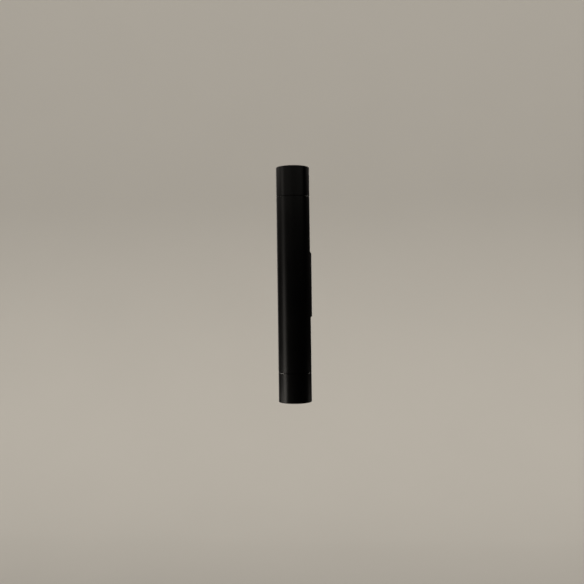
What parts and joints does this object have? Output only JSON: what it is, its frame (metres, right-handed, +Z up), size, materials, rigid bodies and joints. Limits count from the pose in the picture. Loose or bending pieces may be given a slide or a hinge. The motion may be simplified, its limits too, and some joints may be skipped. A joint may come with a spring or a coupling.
{
  "type": "tube wall light",
  "caption": "Slim round black tube on a shallow wall box, with a lamp behind a cover glass at each open end, lighting the wall up and down.",
  "frame": {"origin": "centre of the wall face, on the wall's surface, behind the middle of the tube", "axes": "+Y into the wall, +Z up along the tube, +X to the right seen from the front; the light stands out from the wall towards -Y"},
  "size_m": [0.06, 0.09, 0.425],
  "materials": {
    "black_coat": "satin powder coat, fine texture",
    "bare_aluminium": "turned, bare",
    "black_anodised": "turned, black anodised",
    "zinc_steel": "bright zinc plated sheet",
    "screw_steel": "bright zinc plated",
    "black_screw": "black oxide",
    "spring_steel": "oiled spring steel",
    "brass": "bright turned brass",
    "bronze": "nickel bronze spring leaf",
    "nickel_pin": "nickel plated brass",
    "natural_nylon": "natural moulded nylon",
    "black_rubber": "moulded rubber",
    "clear_silicone": "translucent silicone",
    "white_ceramic": "unglazed steatite",
    "lamp_white": "moulded white casing",
    "lamp_lens": "clear lens, lit",
    "clear_glass": "flat, toughened",
    "brown_silicone": "silicone lead insulation",
    "blue_silicone": "silicone lead insulation",
    "green_silicone": "silicone lead insulation"
  },
  "bodies": {
    "wall_side": {"wall_bracket": "zinc_steel", "cable_bush": "natural_nylon", "earth_screw": "screw_steel", "earth_washer": "zinc_steel"},
    "housing": {"mount_box": "black_coat", "grub_screws": "black_screw", "body_tube": "black_coat", "saddle_screws": "screw_steel", "clamp_plate": "bare_aluminium", "lead_grommet": "black_rubber", "terminal_block": "natural_nylon", "terminal_barrels": "brass", "terminal_screws": "screw_steel", "block_screws": "screw_steel", "earth_tag": "brass", "upper_live_lead": "brown_silicone", "upper_neutral_lead": "blue_silicone", "lower_live_lead": "brown_silicone", "lower_neutral_lead": "blue_silicone", "earth_lead": "green_silicone", "upper_thread_collar": "black_anodised", "upper_lamp_bracket": "zinc_steel", "upper_bracket_screws": "screw_steel", "upper_lampholder": "white_ceramic", "upper_holder_contacts": "bronze", "upper_holder_screws": "screw_steel", "lower_thread_collar": "black_anodised", "lower_lamp_bracket": "zinc_steel", "lower_bracket_screws": "screw_steel", "lower_lampholder": "white_ceramic", "lower_holder_contacts": "bronze", "lower_holder_screws": "screw_steel"},
    "upper_cover_glass": {"upper_glass": "clear_glass", "upper_gasket": "clear_silicone"},
    "upper_screw_sleeve": {"upper_sleeve": "black_coat", "upper_retaining_ring": "spring_steel"},
    "upper_lamp": {"upper_lamp_body": "lamp_white", "upper_lamp_lens": "lamp_lens", "upper_lamp_pins": "nickel_pin"},
    "lower_cover_glass": {"lower_glass": "clear_glass", "lower_gasket": "clear_silicone"},
    "lower_screw_sleeve": {"lower_sleeve": "black_coat", "lower_retaining_ring": "spring_steel"},
    "lower_lamp": {"lower_lamp_body": "lamp_white", "lower_lamp_lens": "lamp_lens", "lower_lamp_pins": "nickel_pin"}
  },
  "joints": [
    {"name": "housing_release", "type": "slide", "parent": "wall_side", "child": "housing", "axis": [0, -1, 0], "range_m": [0, 0.03]},
    {"name": "upper_sleeve_lift", "type": "slide", "parent": "housing", "child": "upper_cover_glass", "axis": [0, 0, 1], "range_m": [0, 0.01]},
    {"name": "upper_sleeve_turn", "type": "hinge", "parent": "upper_cover_glass", "child": "upper_screw_sleeve", "pos_m": [0, -0.06, 0.185], "axis": [0, 0, 1], "range_deg": [0, 1800]},
    {"name": "upper_lamp_turn", "type": "hinge", "parent": "housing", "child": "upper_lamp", "pos_m": [0, -0.06, 0.1524], "axis": [0, 0, 1], "range_deg": [0, 25]},
    {"name": "lower_sleeve_lift", "type": "slide", "parent": "housing", "child": "lower_cover_glass", "axis": [0, 0, -1], "range_m": [0, 0.01]},
    {"name": "lower_sleeve_turn", "type": "hinge", "parent": "lower_cover_glass", "child": "lower_screw_sleeve", "pos_m": [0, -0.06, -0.185], "axis": [0, 0, -1], "range_deg": [0, 1800]},
    {"name": "lower_lamp_turn", "type": "hinge", "parent": "housing", "child": "lower_lamp", "pos_m": [0, -0.06, -0.1524], "axis": [0, 0, -1], "range_deg": [0, 25]}
  ],
  "couplings": [
    {"joint": "upper_sleeve_lift", "follows": "upper_sleeve_turn", "m_per_rad": 0.00031831},
    {"joint": "lower_sleeve_lift", "follows": "lower_sleeve_turn", "m_per_rad": 0.00031831}
  ]
}
